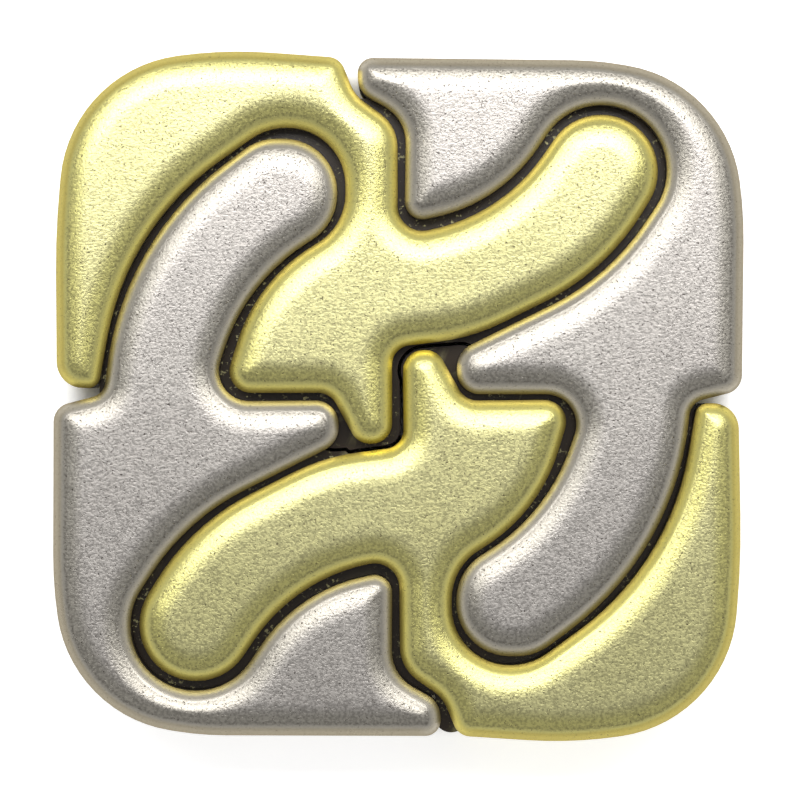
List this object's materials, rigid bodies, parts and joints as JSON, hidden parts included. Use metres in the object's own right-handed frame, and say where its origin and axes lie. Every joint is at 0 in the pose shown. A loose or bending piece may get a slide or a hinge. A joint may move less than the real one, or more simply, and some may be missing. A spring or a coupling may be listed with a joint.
{
  "type": "interlocking cast metal take-apart puzzle",
  "caption": "Flat rounded-square metal puzzle of hooked castings that tile and interlock, in gold and silver tones with a blasted face and polished gaps.",
  "frame": {"origin": "middle of the underside of the closed puzzle, at z = 0, on the axis about which it repeats after half a turn", "axes": "+Z out of the front face, +Y towards the edge that is up when the gold castings lie upper left and lower right, +X to the right"},
  "size_m": [0.0501, 0.0501, 0.01],
  "materials": {
    "gold_plate": "fine blasted face, polished edges, pale gold plate",
    "silver_plate": "fine blasted face, polished edges, nickel plate"
  },
  "bodies": {
    "gold_upper_left": {"gold_upper_left": "gold_plate"},
    "gold_lower_right": {"gold_lower_right": "gold_plate"},
    "silver_lower_left": {"silver_lower_left": "silver_plate"},
    "silver_upper_right": {"silver_upper_right": "silver_plate"}
  },
  "joints": [
    {"name": "lift_gold_lower_right", "type": "slide", "parent": "gold_upper_left", "child": "gold_lower_right", "axis": [0, 0, 1], "range_m": [0, 0.012]},
    {"name": "lift_silver_lower_left", "type": "slide", "parent": "gold_lower_right", "child": "silver_lower_left", "axis": [0, 0, 1], "range_m": [0, 0.012]},
    {"name": "lift_silver_upper_right", "type": "slide", "parent": "gold_lower_right", "child": "silver_upper_right", "axis": [0, 0, 1], "range_m": [0, 0.012]}
  ]
}
